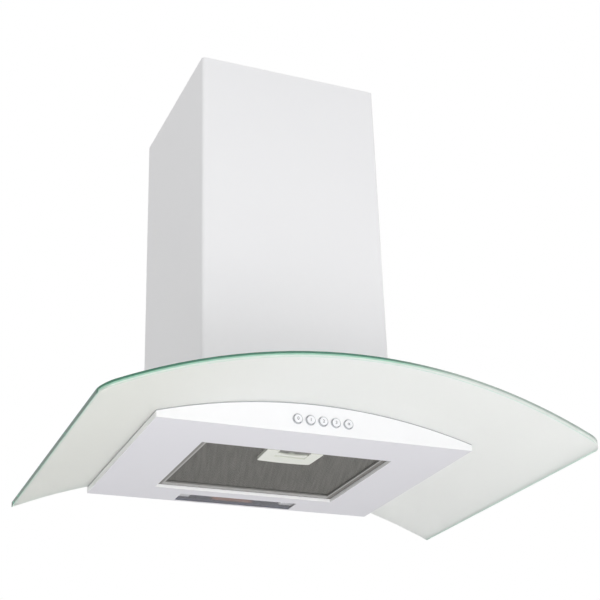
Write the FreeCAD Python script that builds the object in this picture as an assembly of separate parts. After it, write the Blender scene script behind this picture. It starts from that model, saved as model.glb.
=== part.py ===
"""Curved glass range hood for a wall, 600 mm wide.

A shallow white pan with the filter, the lamp and five push buttons hangs
under an arched glass canopy. A steel carcass stands on the glass, holds the
fan and hangs on the wall, and two telescoping covers hide it.

All shapes are drawn from the pan's underside (z = 0) with the wall at y = 0
and the room towards -y, then lowered so that the origin lies at the centre
of the four wall holes.
"""
import FreeCAD, Part
import math
import os

V = FreeCAD.Vector

# ------------------------------------------------------------------ sizes
# glass canopy
glass_width = 600.0
glass_side_depth = 444.0
glass_front_bulge = 13.0
glass_corner_radius = 18.0
glass_thickness = 6.0
arch_radius = 730.0
arch_apex_height = 37.0
glass_wall_gap = 1.5

# pan below the glass
pan_width = 404.0
pan_depth = 312.0
pan_sheet = 1.0
front_sheet = 1.2
rim_flange = 10.0

# filter cassette and its opening
filter_opening_width = 250.0
filter_opening_depth = 190.0
filter_opening_rear = 54.0
filter_recess = 4.0
filter_thickness = 9.0
filter_rail = 8.5
filter_end_rail = 11.0
filter_rail_wall = 2.8
filter_mesh_thickness = 4.4
hinge_pin_radius = 1.5
hinge_pin_inset = 3.5
hinge_pin_overhang = 3.0

# filter catch
catch_width = 74.0
catch_depth = 41.5
catch_corner = 3.0
catch_bow = 2.0
catch_drop = 1.0
catch_wall = 1.5
catch_finger_space = 7.5
catch_bar_width = 40.0
catch_bar_depth = 9.0
catch_bar_hollow = 3.5
catch_bar_recess = 0.4
catch_hook_reach = 30.0
catch_hook_width = 7.0
catch_hook_thickness = 2.0
catch_hook_gap = 0.4
catch_engage = 3.0
catch_release = 4.0

# lamp
lamp_opening_width = 166.0
lamp_opening_depth = 30.0
lamp_opening_rear = 3.0
lamp_lens_thickness = 2.0
lamp_lens_recess = 2.0
lamp_housing_height = 24.0
bulb_radius = 6.0
bulb_length = 52.0
bulb_tip_radius = 1.2
bulb_base_length = 11.0
bulb_sides = 10
bulb_holder_length = 22.0

# push buttons
button_count = 5
button_pitch = 16.3
button_row_offset = 2.4
button_height = 16.0
button_radius = 4.9
button_sides = 20
panel_hole_sides = 12
button_proud = 2.6
button_cap_length = 10.0
button_travel = 3.0
button_stem_width = 4.4
button_stem_length = 9.0
bezel_width = 1.0
bezel_proud = 1.1
switch_block_height = 20.0
switch_block_end_margin = 8.0

# air chamber between pan and glass
chamber_half_width = 150.0
chamber_front_gap = 18.0
chamber_rear_gap = 11.0
chamber_sheet = 1.0
chamber_foot = 8.0

# cut-out through the glass
cutout_rear = 60.0
cutout_corner = 12.0
gasket_thickness = 2.0
gasket_width = 6.0
glass_bolt_offset = 10.0
glass_bolt_radius = 2.5
glass_hole_radius = 5.0
glass_bolt_head_height = 3.5
glass_bolt_head_radius = 4.6
glass_nut_height = 4.0
bolt_sides = 8

# carcass behind the chimney
carcass_side_gap = 19.5
carcass_front_gap = 22.0
carcass_side_ledge = 20.0
carcass_front_ledge = 18.0
carcass_top = 250.0
carcass_sheet = 1.2
wall_hole_radius = 4.0
wall_hole_spread = 160.0
wall_hole_rise = 110.0
wall_hole_height = 145.0

# chimney covers
chimney_width = 255.0
chimney_depth = 250.0
chimney_top = 546.0
chimney_sheet = 1.0
chimney_bend = 5.0
chimney_return = 15.0
cover_gap = 0.5
upper_cover_sink = 4.0
foot_low = 52.0
foot_height = 20.0
foot_depth = 30.0
foot_sheet = 1.2

# wall bracket of the upper cover
bracket_height = 30.0
bracket_sheet = 1.5
bracket_drop = 12.0
bracket_side_leg = 30.0
bracket_hole_spread = 120.0
bracket_hole_radius = 3.0

# fan
impeller_radius = 55.0
impeller_width = 100.0
impeller_ring_depth = 9.0
impeller_ring_width = 3.0
blade_count = 24
blade_thickness = 0.9
blade_sweep_deg = 9.0
blade_inset = 0.6
hub_x = 5.0
hub_radius = 10.0
hub_sides = 12
hub_half_length = 8.0
disc_thickness = 1.6
scroll_tongue_gap = 7.0
scroll_step = 8.0
scroll_width = 120.0
scroll_sheet = 1.2
scroll_flats = 12
scroll_floor_gap = 12.0
neck_width = 120.0
inlet_radius = 48.0
inlet_sides = 28
motor_radius = 34.0
motor_length = 74.0
motor_rear = 90.0
motor_arm_sheet = 2.0
motor_arm_width = 12.0
motor_arm_seat = 8.0
motor_collar_width = 4.0
motor_sides = 18
motor_waist_step = 2.0
motor_waist_length = 22.0
motor_boss_radius = 12.0
motor_boss_length = 8.0
shaft_depth = 14.0
shaft_radius = 4.0
shaft_overhang = 3.0
shaft_bore_sides = 12
impeller_nut_radius = 7.0
impeller_nut_height = 6.0
running_gap = 0.05

# outlet collar and back-draught flaps
collar_radius = 59.5
collar_wall = 1.5
collar_height = 49.5
collar_plate_margin = 10.0
collar_plate_thickness = 1.5
collar_screw_inset = 8.0
collar_bar_width = 8.0
collar_root = 0.8
bore_sides = 30
socket_sides = 8
flap_height = 16.0
flap_thickness = 0.8
flap_pin_radius = 1.5
flap_pin_offset = 3.2
flap_edge_gap = 0.6
pivot_depth = 0.6
stop_angle_deg = 58.0
stop_width = 8.0
stop_length = 4.0
stop_thickness = 1.0

# electrics
box_width = 34.0
box_depth = 60.0
box_height = 75.0
box_wall = 2.0
box_lid_sheet = 2.0
box_front_inset = 13.0
capacitor_radius = 11.0
capacitor_sides = 20
capacitor_height = 48.0
terminal_count = 5
terminal_pitch = 9.0
terminal_depth = 14.0
terminal_width = 20.0
terminal_side_gap = 4.0
gland_radius = 6.5
gland_nut_radius = 9.0
gland_nut_height = 4.0
gland_bore = 4.0
gland_length = 18.0
gland_sides = 16
gland_side_inset = 22.0
gland_rear_inset = 22.0

# sheet-metal screws
screw_head_radius = 3.4
screw_head_height = 2.2

# clearances
seat_gap = 0.3
fit_gap = 0.1
slide_gap = 0.5
cassette_gap = 1.0

# ------------------------------------------------------- derived places
half_glass = glass_width / 2
half_pan = pan_width / 2
arch_axis = arch_apex_height - arch_radius
pan_front = -pan_depth
panel_back = pan_front + front_sheet
opening_front = -(filter_opening_rear + filter_opening_depth)
opening_rear = -filter_opening_rear
half_opening = filter_opening_width / 2
cassette_front = opening_front + cassette_gap
cassette_rear = opening_rear - cassette_gap
half_cassette = half_opening - cassette_gap
lip_top = filter_recess + pan_sheet
hinge_y = cassette_rear - hinge_pin_inset
hinge_z = pan_sheet + seat_gap + hinge_pin_radius
carcass_depth = chimney_depth - carcass_front_gap
half_carcass = chimney_width / 2 - carcass_side_gap
half_cutout = half_carcass - carcass_side_ledge
cutout_front = carcass_depth - carcass_front_ledge
glass_bolt_x = half_cutout + glass_bolt_offset
glass_bolt_ys = (-cutout_front - glass_bolt_offset, -cutout_rear + glass_bolt_offset)
chamber_front = opening_front - chamber_front_gap
chamber_rear = opening_rear + chamber_rear_gap
half_chimney = chimney_width / 2

# lifts: distances outwards from the underside of the glass
seal_top = -fit_gap
seal_bottom = seal_top - pan_sheet
rim_top = seal_bottom - fit_gap
rim_bottom = rim_top - pan_sheet
lower_gasket_top = -fit_gap
lower_gasket_bottom = lower_gasket_top - gasket_thickness
chamber_top = lower_gasket_bottom - fit_gap
chamber_ceiling = chamber_top - chamber_sheet
upper_gasket_bottom = glass_thickness + fit_gap
upper_gasket_top = upper_gasket_bottom + gasket_thickness
base_bottom = upper_gasket_top + fit_gap
base_top = base_bottom + carcass_sheet

# fan places
fan_y = -(carcass_depth / 2) + (impeller_radius + scroll_tongue_gap + 3 * scroll_step) - neck_width / 2
scroll_radius = impeller_radius + scroll_tongue_gap
fan_z = arch_apex_height + base_top + scroll_floor_gap + scroll_radius + scroll_step
neck_front = fan_y - scroll_radius - 3 * scroll_step
neck_rear = neck_front + neck_width
collar_y = (neck_front + neck_rear) / 2
lid_top = carcass_top + carcass_sheet
plate_top = lid_top + collar_plate_thickness
collar_bore = collar_radius - collar_wall
flap_z = lid_top + flap_height


# ------------------------------------------------------------- primitives
def box(x0, x1, y0, y1, z0, z1):
    return Part.makeBox(x1 - x0, y1 - y0, z1 - z0, V(x0, y0, z0))


def rod_x(radius, x0, x1, y, z):
    return Part.makeCylinder(radius, x1 - x0, V(x0, y, z), V(1, 0, 0))


def rod_y(radius, y0, y1, x, z):
    return Part.makeCylinder(radius, y1 - y0, V(x, y0, z), V(0, 1, 0))


def rod_z(radius, z0, z1, x, y):
    return Part.makeCylinder(radius, z1 - z0, V(x, y, z0), V(0, 0, 1))


def prism_z(radius, z0, z1, x, y, sides=6):
    """upright bar with flat sides, for nuts, bolt heads and hidden hardware"""
    corners = []
    for i in range(sides + 1):
        a = math.radians(360.0 * i / sides)
        corners.append(V(x + radius * math.cos(a), y + radius * math.sin(a), z0))
    return Part.Face(Part.makePolygon(corners)).extrude(V(0, 0, z1 - z0))


def prism_y(radius, y0, y1, x, z, sides):
    """bar with flat sides that lies along Y"""
    corners = []
    for i in range(sides + 1):
        a = math.radians(360.0 * i / sides)
        corners.append(V(x + radius * math.cos(a), y0, z + radius * math.sin(a)))
    return Part.Face(Part.makePolygon(corners)).extrude(V(0, y1 - y0, 0))


def prism_x(radius, x0, x1, y, z, sides=6, end_radius=None):
    """bar with flat sides that lies along X; with another end radius it tapers"""
    def corners(x, r):
        turns = [2 * math.pi * i / sides for i in range(sides)]
        return [V(x, y + r * math.cos(a), z + r * math.sin(a)) for a in turns]

    near = corners(x0, radius)
    far = corners(x1, end_radius or radius)
    faces = [Part.Face(Part.makePolygon(ring + ring[:1])) for ring in (near, far)]
    for i in range(sides):
        j = (i + 1) % sides
        faces.append(Part.Face(Part.makePolygon([near[i], near[j], far[j], far[i], near[i]])))
    bar = Part.Solid(Part.Shell(faces))
    if bar.Volume < 0:
        bar.reverse()
    return bar


def rounded_box(x0, x1, y0, y1, z0, z1, radius):
    """block with its four upright edges rounded"""
    block = box(x0, x1, y0, y1, z0, z1)
    upright = [e for e in block.Edges if abs(e.Vertexes[0].Z - e.Vertexes[1].Z) > (z1 - z0) / 2]
    return block.makeFillet(radius, upright)


def circumscribed(radius, sides):
    """corner radius of the flat-sided bar that just holds a round one"""
    return radius / math.cos(math.pi / sides)


def fuse(shapes):
    return shapes[0].multiFuse(shapes[1:]).removeSplitter()


def save(name, shape):
    """lower the piece from the underside datum to the wall-hole datum and write it"""
    placed = shape.copy()
    placed.translate(V(0, 0, -wall_hole_height))
    placed.exportStep(os.path.join("parts", name + ".step"))


# ------------------------------------------------------- the arch's curve
def arch_z(x, lift=0.0):
    """height of the surface that lies lift outside the glass underside"""
    return arch_axis + math.sqrt((arch_radius + lift) ** 2 - x * x)


def arch_edge(x0, x1, y, lift):
    middle = (x0 + x1) / 2
    ends = [V(x, y, arch_z(x, lift)) for x in (x0, middle, x1)]
    return Part.Arc(*ends).toShape(), ends[0], ends[2]


def arched_plate(x0, x1, y0, y1, low, high):
    """plate between two lifts, cut square at its ends"""
    under, under_left, under_right = arch_edge(x0, x1, y0, low)
    over, over_left, over_right = arch_edge(x0, x1, y0, high)
    left = Part.makeLine(under_left, over_left)
    right = Part.makeLine(under_right, over_right)
    wire = Part.Wire(Part.__sortEdges__([under, right, over, left]))
    return Part.Face(wire).extrude(V(0, y1 - y0, 0))


def arched_block(x0, x1, y0, y1, z0, lift):
    """block with a flat bottom whose top follows the arch"""
    over, left_end, right_end = arch_edge(x0, x1, y0, lift)
    left_foot = V(x0, y0, z0)
    right_foot = V(x1, y0, z0)
    sides = [
        Part.makeLine(left_foot, left_end),
        over,
        Part.makeLine(right_end, right_foot),
        Part.makeLine(right_foot, left_foot),
    ]
    return Part.Face(Part.Wire(sides)).extrude(V(0, y1 - y0, 0))


def under_arch(lift, y0, y1):
    """everything inside the surface at this lift, used to cut bottom edges"""
    return rod_y(arch_radius + lift, y0, y1, 0, arch_axis)


def square_to_arch(shape, x, y):
    """turn a piece drawn upright at x = 0 so that it stands square on the arch at x"""
    turned = shape.copy()
    angle = math.degrees(math.asin(x / arch_radius))
    turned.rotate(V(0, y, arch_axis), V(0, 1, 0), angle)
    return turned


def bolt_places():
    return [(side * glass_bolt_x, y) for y in glass_bolt_ys for side in (-1, 1)]


def bolt_holes(radius, low, high):
    """four holes through the arch for the bolts that clamp the glass"""
    upright = [
        prism_z(radius, arch_apex_height + low, arch_apex_height + high, 0, y, bolt_sides)
        for _, y in bolt_places()
    ]
    return [square_to_arch(hole, x, y) for hole, (x, y) in zip(upright, bolt_places())]


def cutout_void(low, high):
    """air passage through the sheets that lie on the glass"""
    return box(-half_cutout, half_cutout, -cutout_front, -cutout_rear, low, high)


# ------------------------------------------------------------ glass canopy
def canopy_outline(z0, z1):
    """plan of the glass: straight sides, bulged front edge, rounded front corners"""
    rear, front = -glass_wall_gap, -glass_side_depth
    rear_left, rear_right = V(-half_glass, rear, z0), V(half_glass, rear, z0)
    front_left, front_right = V(-half_glass, front, z0), V(half_glass, front, z0)
    front_middle = V(0, front - glass_front_bulge, z0)
    edges = [
        Part.makeLine(rear_left, front_left),
        Part.Arc(front_left, front_middle, front_right).toShape(),
        Part.makeLine(front_right, rear_right),
        Part.makeLine(rear_right, rear_left),
    ]
    prism = Part.Face(Part.Wire(edges)).extrude(V(0, 0, z1 - z0))
    front_edges = [
        e for e in prism.Edges
        if abs(e.Vertexes[0].Z - e.Vertexes[-1].Z) > (z1 - z0) / 2 and e.Vertexes[0].Y < front / 2
    ]
    return prism.makeFillet(glass_corner_radius, front_edges)


def glass_canopy():
    """bent sheet, a little wider than the glass, trimmed to the plan and drilled"""
    spare = glass_corner_radius
    reach = half_glass + spare
    bent = arched_plate(-reach, reach, -glass_side_depth - glass_front_bulge - spare, spare, 0, glass_thickness)
    highest = arch_apex_height + 2 * glass_thickness
    sheet = bent.common(canopy_outline(arch_z(reach) - spare, highest))
    cutout = rounded_box(-half_cutout, half_cutout, -cutout_front, -cutout_rear, 0, highest, cutout_corner)
    return sheet.cut([cutout] + bolt_holes(glass_hole_radius, -glass_thickness, 2 * glass_thickness))


def cutout_gasket(low, high):
    """rubber frame around the cut-out, on one face of the glass"""
    grow = gasket_width
    frame = arched_plate(-half_cutout - grow, half_cutout + grow, -cutout_front - grow, -cutout_rear + grow,
                         low, high)
    return frame.cut(cutout_void(0, carcass_top))


def glass_bolts():
    bolts = []
    for x, y in bolt_places():
        head_z = arch_apex_height + base_top + fit_gap
        nut_top = arch_apex_height + chamber_ceiling - fit_gap
        shank = prism_z(glass_bolt_radius, nut_top, head_z, 0, y, bolt_sides)
        head = prism_z(glass_bolt_head_radius, head_z, head_z + glass_bolt_head_height, 0, y)
        bolts.append(square_to_arch(shank.fuse(head), x, y))
    return Part.makeCompound(bolts)


def glass_nuts():
    """closed cap nuts under the chamber's ceiling, met by the bolts' ends"""
    nuts = []
    for x, y in bolt_places():
        top = arch_apex_height + chamber_ceiling - fit_gap
        nuts.append(square_to_arch(prism_z(glass_bolt_head_radius, top - glass_nut_height, top, 0, y), x, y))
    return Part.makeCompound(nuts)


def glass_bushes():
    """soft sleeves that keep the bolts off the glass"""
    bushes = []
    for x, y in bolt_places():
        low, high = arch_apex_height + fit_gap, arch_apex_height + glass_thickness - fit_gap
        body = prism_z(glass_hole_radius - seat_gap, low, high, 0, y, bolt_sides)
        bore = prism_z(glass_bolt_radius + seat_gap, low - 1, high + 1, 0, y, bolt_sides)
        bushes.append(square_to_arch(body.cut(bore), x, y))
    return Part.makeCompound(bushes)


# --------------------------------------------------------------------- pan
def underside_panel():
    """folded steel pan: floor with raised edges round the filter, side walls, rear wall and inward rim"""
    shell = arched_block(-half_pan, half_pan, panel_back, 0, 0, rim_top)
    inside = arched_block(-half_pan + pan_sheet, half_pan - pan_sheet, panel_back - 1, -pan_sheet,
                          pan_sheet, rim_bottom)
    top = box(-half_pan + rim_flange, half_pan - rim_flange, panel_back - 1, -rim_flange,
              pan_sheet, 2 * arch_apex_height)
    lamp_hole = box(-lamp_opening_width / 2, lamp_opening_width / 2,
                    -lamp_opening_rear - lamp_opening_depth, -lamp_opening_rear, -1, pan_sheet + 1)
    lip = box(-half_opening - pan_sheet, half_opening + pan_sheet, opening_front - pan_sheet,
              opening_rear + pan_sheet, 0, lip_top)
    filter_hole = box(-half_opening, half_opening, opening_front, opening_rear, -1, lip_top + 1)
    return fuse([shell.cut([inside, top, lamp_hole]), lip]).cut(filter_hole)


def front_panel():
    """arched control panel with a rim above, a return fold below and the button holes"""
    face = arched_block(-half_pan, half_pan, pan_front, panel_back, 0, rim_top)
    rim_half = half_pan - rim_flange - slide_gap
    rim = arched_plate(-rim_half, rim_half, panel_back - front_sheet / 2, pan_front + rim_flange,
                       rim_bottom, rim_top)
    fold_half = half_pan - pan_sheet - seat_gap
    fold = box(-fold_half, fold_half, panel_back - front_sheet / 2, panel_back + rim_flange,
               pan_sheet, 2 * pan_sheet)
    panel = fuse([face, rim, fold])
    hole_radius = circumscribed(button_radius + slide_gap, panel_hole_sides)
    holes = [
        prism_y(hole_radius, pan_front - 1, panel_back + 1, x, button_height, panel_hole_sides)
        for x in button_places()
    ]
    return panel.cut(holes)


def perimeter_seal():
    """grey rubber strip between the pan's rim and the glass"""
    strip = arched_plate(-half_pan, half_pan, pan_front, -glass_wall_gap, seal_bottom, seal_top)
    middle = arched_plate(-half_pan + rim_flange, half_pan - rim_flange,
                          pan_front + rim_flange, -rim_flange, seal_bottom - 1, seal_top + 1)
    return strip.cut(middle)


def air_chamber():
    """arched hopper that leads the air from the filter to the cut-out in the glass"""
    outer = arched_block(-chamber_half_width, chamber_half_width, chamber_front, chamber_rear,
                         pan_sheet, chamber_top)
    inner = arched_block(-chamber_half_width + chamber_sheet, chamber_half_width - chamber_sheet,
                         chamber_front + chamber_sheet, chamber_rear - chamber_sheet,
                         pan_sheet - 1, chamber_ceiling)
    feet = [
        box(min(a, b), max(a, b), chamber_front, chamber_rear, pan_sheet, pan_sheet + chamber_sheet)
        for a, b in (
            (-chamber_half_width - chamber_foot, -chamber_half_width + chamber_sheet / 2),
            (chamber_half_width - chamber_sheet / 2, chamber_half_width + chamber_foot),
        )
    ]
    hopper = fuse([outer.cut(inner)] + feet)
    return hopper.cut([cutout_void(pan_sheet + 2, carcass_top)]
                      + bolt_holes(glass_bolt_radius + seat_gap, chamber_ceiling - 1, chamber_top + 1))


# ------------------------------------------------------------ push buttons
def button_places():
    first = button_row_offset - button_pitch * (button_count - 1) / 2
    return [first + button_pitch * i for i in range(button_count)]


cap_front = pan_front - button_proud
cap_rear = cap_front + button_cap_length
stem_end = cap_rear + button_stem_length
pocket_floor = cap_rear + button_travel + slide_gap
block_rear = stem_end + button_travel + slide_gap + 1.5


def square_bar_y(half, y0, y1, x):
    return box(x - half, x + half, y0, y1, button_height - half, button_height + half)


def push_button(x):
    """round cap on a thinner square stem"""
    cap = prism_y(button_radius, cap_front, cap_rear, x, button_height, button_sides)
    return cap.fuse(square_bar_y(button_stem_width / 2, cap_rear, stem_end, x))


def button_bezels():
    """bright rings pressed on the panel around the buttons"""
    rings = []
    for x in button_places():
        bore = button_radius + slide_gap
        ring = prism_y(bore + bezel_width, pan_front - bezel_proud, pan_front, x, button_height, button_sides)
        rings.append(ring.cut(prism_y(bore, pan_front - bezel_proud - 1, pan_front + 1, x, button_height,
                                      button_sides)))
    return Part.makeCompound(rings)


def switch_block():
    """plastic block behind the panel; caps and stems run in its square wells"""
    places = button_places()
    margin = button_radius + switch_block_end_margin
    block = box(places[0] - margin, places[-1] + margin, panel_back, block_rear,
                button_height - switch_block_height / 2 + 1, button_height + switch_block_height / 2 - 3)
    cap_wells = [square_bar_y(button_radius + slide_gap, panel_back - 1, pocket_floor, x) for x in places]
    stem_half = button_stem_width / 2 + seat_gap
    stem_stop = stem_end + button_travel + slide_gap
    stem_wells = [square_bar_y(stem_half, pocket_floor - 1, stem_stop, x) for x in places]
    return block.cut(cap_wells + stem_wells)


# ---------------------------------------------------------- filter cassette
# drawn from the cassette's own underside, then raised into its recess
mesh_low = (filter_thickness - filter_mesh_thickness) / 2
catch_front = cassette_front + filter_end_rail
catch_rear = catch_front + catch_depth
catch_ceiling = filter_thickness - catch_wall
hook_low = pan_sheet + slide_gap
hook_high = hook_low + catch_hook_thickness
bar_front = catch_front + catch_wall + catch_finger_space
bar_rear = bar_front + catch_bar_depth


def raised(shape):
    """lift a piece of the cassette into the recess of the pan"""
    shape.translate(V(0, 0, filter_recess))
    return shape


def catch_block(z0, z1):
    """block with a bowed rear edge between two rounded corners"""
    half = catch_width / 2
    front_left, front_right = V(-half, catch_front, z0), V(half, catch_front, z0)
    rear_left, rear_right = V(-half + catch_bow, catch_rear, z0), V(half - catch_bow, catch_rear, z0)
    edges = [
        Part.makeLine(front_left, front_right),
        Part.makeLine(front_right, rear_right),
        Part.Arc(rear_right, V(0, catch_rear + catch_bow, z0), rear_left).toShape(),
        Part.makeLine(rear_left, front_left),
    ]
    block = Part.Face(Part.Wire(edges)).extrude(V(0, 0, z1 - z0))
    rear = [
        e for e in block.Edges
        if abs(e.Vertexes[0].Z - e.Vertexes[-1].Z) > (z1 - z0) / 2 and e.Vertexes[0].Y > catch_rear - 1
    ]
    return block.makeFillet(catch_corner, rear)


def hook_ways():
    """two slots in which the slider's hooks run forwards through the rail"""
    outer = catch_hook_reach + slide_gap
    inner = catch_hook_reach - catch_hook_width - slide_gap
    return [
        box(x0, x1, cassette_front - 1, bar_rear, hook_low - catch_hook_gap, hook_high + catch_hook_gap)
        for x0, x1 in ((-outer, -inner), (inner, outer))
    ]


def filter_frame():
    """aluminium frame: four grooved rails and two hinge pins that lie on the pan's raised edges"""
    outer = box(-half_cassette, half_cassette, cassette_front, cassette_rear, 0, filter_thickness)
    window = box(-half_cassette + filter_rail, half_cassette - filter_rail,
                 cassette_front + filter_end_rail, cassette_rear - filter_end_rail, -1, filter_thickness + 1)
    groove = box(-half_cassette + filter_rail_wall, half_cassette - filter_rail_wall,
                 cassette_front + filter_rail_wall, cassette_rear - filter_rail_wall,
                 mesh_low - seat_gap, mesh_low + filter_mesh_thickness + seat_gap)
    pin_end = half_opening + pan_sheet + hinge_pin_overhang
    pins = [
        rod_x(hinge_pin_radius, min(a, b), max(a, b), hinge_y, hinge_z)
        for a, b in ((half_cassette - 1, pin_end), (-half_cassette + 1, -pin_end))
    ]
    frame = outer.cut([window, groove] + hook_ways())
    return raised(fuse([frame] + pins))


def filter_mesh(low, high):
    """one layer of expanded metal, held in the rails' grooves and cut out for the catch"""
    edge = filter_rail_wall + seat_gap
    layer = box(-half_cassette + edge, half_cassette - edge, cassette_front + edge, cassette_rear - edge,
                low, high)
    half = catch_width / 2 + seat_gap
    return raised(layer.cut([
        box(-half, half, catch_front - seat_gap, catch_rear + catch_bow + seat_gap, low - 1, high + 1),
        box(-catch_hook_reach - slide_gap, catch_hook_reach + slide_gap, cassette_front, catch_front,
            low - 1, high + 1),
    ]))


def catch_housing():
    """moulded housing with a finger recess open from below and a slot for the slider's plate"""
    block = catch_block(-catch_drop, filter_thickness)
    travel_front = bar_front - catch_engage - slide_gap
    travel_rear = bar_rear + catch_release + slide_gap
    half = catch_bar_width / 2 + slide_gap
    recess = box(-half, half, catch_front + catch_wall, travel_rear, -catch_drop - 1, catch_ceiling)
    reach = catch_hook_reach + slide_gap
    plate_way = box(-reach, reach, travel_front, travel_rear, hook_low - catch_hook_gap,
                    hook_high + catch_hook_gap)
    return raised(block.cut([recess, plate_way] + hook_ways()))


def catch_slider():
    """hollowed thumb bar on a plate with two hooks that run over the pan's raised edge"""
    half_bar = catch_bar_width / 2
    low = -catch_drop + catch_bar_recess
    bar = box(-half_bar, half_bar, bar_front, bar_rear, low, catch_ceiling - seat_gap)
    hollow_radius = (half_bar ** 2 + catch_bar_hollow ** 2) / (2 * catch_bar_hollow)
    hollow = rod_z(hollow_radius, low - 1, filter_thickness, 0, bar_front + catch_bar_hollow - hollow_radius)
    plate = box(-catch_hook_reach, catch_hook_reach, bar_front + catch_bar_hollow + catch_wall, bar_rear,
                hook_low, hook_high)
    tip = opening_front + seat_gap + slide_gap
    inner = catch_hook_reach - catch_hook_width
    hooks = [
        box(x0, x1, tip, bar_rear, hook_low, hook_high)
        for x0, x1 in ((-catch_hook_reach, -inner), (inner, catch_hook_reach))
    ]
    return raised(fuse([bar.cut(hollow), plate] + hooks))


# ------------------------------------------------------------------- lamp
lamp_front = -lamp_opening_rear - lamp_opening_depth
half_lamp = lamp_opening_width / 2
housing_front = lamp_front - 5
housing_rear = -pan_sheet - fit_gap
half_housing = half_lamp + 6
housing_sheet = 1.0
bulb_y = (lamp_front - lamp_opening_rear) / 2
bulb_z = pan_sheet + lamp_housing_height / 2
holder_end = half_housing - 1.5


def lamp_lens():
    """clear cover seated inside the opening on a wider step"""
    pane = box(-half_lamp + slide_gap, half_lamp - slide_gap, lamp_front + slide_gap,
               -lamp_opening_rear - slide_gap, lamp_lens_recess - lamp_lens_thickness + 0.3, pan_sheet)
    step_half = half_housing - housing_sheet - slide_gap
    step = box(-step_half, step_half, housing_front + housing_sheet + slide_gap,
               housing_rear - housing_sheet - seat_gap,
               pan_sheet, pan_sheet + lamp_lens_thickness)
    return fuse([pane, step])


def lamp_housing():
    """bright tin that closes the lamp compartment above the pan's floor"""
    low = pan_sheet + lamp_lens_thickness
    outer = box(-half_housing, half_housing, housing_front, housing_rear, pan_sheet, low + lamp_housing_height)
    inner = box(-half_housing + housing_sheet, half_housing - housing_sheet,
                housing_front + housing_sheet, housing_rear - housing_sheet,
                pan_sheet - 1, low + lamp_housing_height - housing_sheet)
    return outer.cut(inner)


def lamp_holders():
    """square ceramic holders at both ends of the housing, bored for the lamp bases"""
    holders = []
    for side in (-1, 1):
        x0, x1 = sorted((side * (holder_end + 0.5), side * (holder_end - bulb_holder_length)))
        half = bulb_radius + 1.5
        body = box(x0, x1, bulb_y - half, bulb_y + half, bulb_z - half, bulb_z + half)
        socket_end = side * (holder_end - bulb_holder_length)
        s0, s1 = sorted((socket_end - side, socket_end + side * (bulb_base_length + slide_gap)))
        holders.append(body.cut(prism_x(bulb_radius - 1 + seat_gap, s0, s1, bulb_y, bulb_z, bulb_sides)))
    return Part.makeCompound(holders)


def lamp_bulbs():
    """two candle bulbs lying tip to tip, each in its own holder"""
    bulbs = []
    for side in (-1, 1):
        mouth = side * (holder_end - bulb_holder_length)
        screw_end = mouth + side * bulb_base_length
        base_x0, base_x1 = sorted((mouth - side * 2, screw_end))
        base = prism_x(bulb_radius - 1, base_x0, base_x1, bulb_y, bulb_z, bulb_sides)
        # radius at each share of the bulb's length, from the holder to the tip
        flank = ((0.0, bulb_radius - 1), (0.3, bulb_radius), (0.6, bulb_radius * 0.85),
                 (0.85, bulb_radius * 0.45), (1.0, bulb_tip_radius))
        parts = [base]
        for (share, radius), (next_share, next_radius) in zip(flank, flank[1:]):
            x0, x1 = (mouth - side * s * bulb_length for s in (share, next_share))
            parts.append(prism_x(radius, x0, x1, bulb_y, bulb_z, bulb_sides, next_radius))
        bulbs.append(fuse(parts))
    return Part.makeCompound(bulbs)


# ------------------------------------------------------------------ carcass
def carcass_shell():
    """open steel box on an arched base; its rear wall hangs on the wall"""
    floor_z = arch_z(half_carcass, 0)
    outer = box(-half_carcass, half_carcass, -carcass_depth, 0, floor_z, carcass_top)
    inner = box(-half_carcass + carcass_sheet, half_carcass - carcass_sheet,
                -carcass_depth + carcass_sheet, -carcass_sheet, floor_z - 1, carcass_top + 1)
    walls = outer.cut([inner, under_arch(base_bottom, -carcass_depth - 1, 1)])
    base = arched_plate(-half_carcass, half_carcass, -carcass_depth, 0, base_bottom, base_top)
    half_spread, half_rise = wall_hole_spread / 2, wall_hole_rise / 2
    wall_holes = [
        rod_y(wall_hole_radius, -carcass_sheet - 1, 1, sx * half_spread, wall_hole_height + sz * half_rise)
        for sx in (-1, 1) for sz in (-1, 1)
    ]
    shell = fuse([walls, base])
    return shell.cut([cutout_void(0, arch_apex_height + base_top + 5)]
                     + bolt_holes(glass_bolt_radius + seat_gap, base_bottom - 1, base_top + 1) + wall_holes)


gland_x = half_carcass - gland_side_inset
gland_y = -gland_rear_inset


def carcass_lid():
    lid = box(-half_carcass, half_carcass, -carcass_depth, 0, carcass_top, lid_top)
    return lid.cut([
        prism_z(collar_bore, carcass_top - 1, lid_top + 1, 0, collar_y, bore_sides),
        prism_z(gland_radius, carcass_top - 1, lid_top + 1, gland_x, gland_y, gland_sides),
    ])


def cable_gland():
    """moulded bush in the lid for the mains lead"""
    low = carcass_top - gland_nut_height
    neck = prism_z(gland_radius - fit_gap, low, low + gland_length, gland_x, gland_y, gland_sides)
    head = prism_z(gland_nut_radius, lid_top, lid_top + gland_nut_height, gland_x, gland_y)
    nut = prism_z(gland_nut_radius, low, carcass_top, gland_x, gland_y)
    bore = rod_z(gland_bore, low - 1, carcass_top + gland_length, gland_x, gland_y)
    return fuse([neck, head, nut]).cut(bore)


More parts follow.
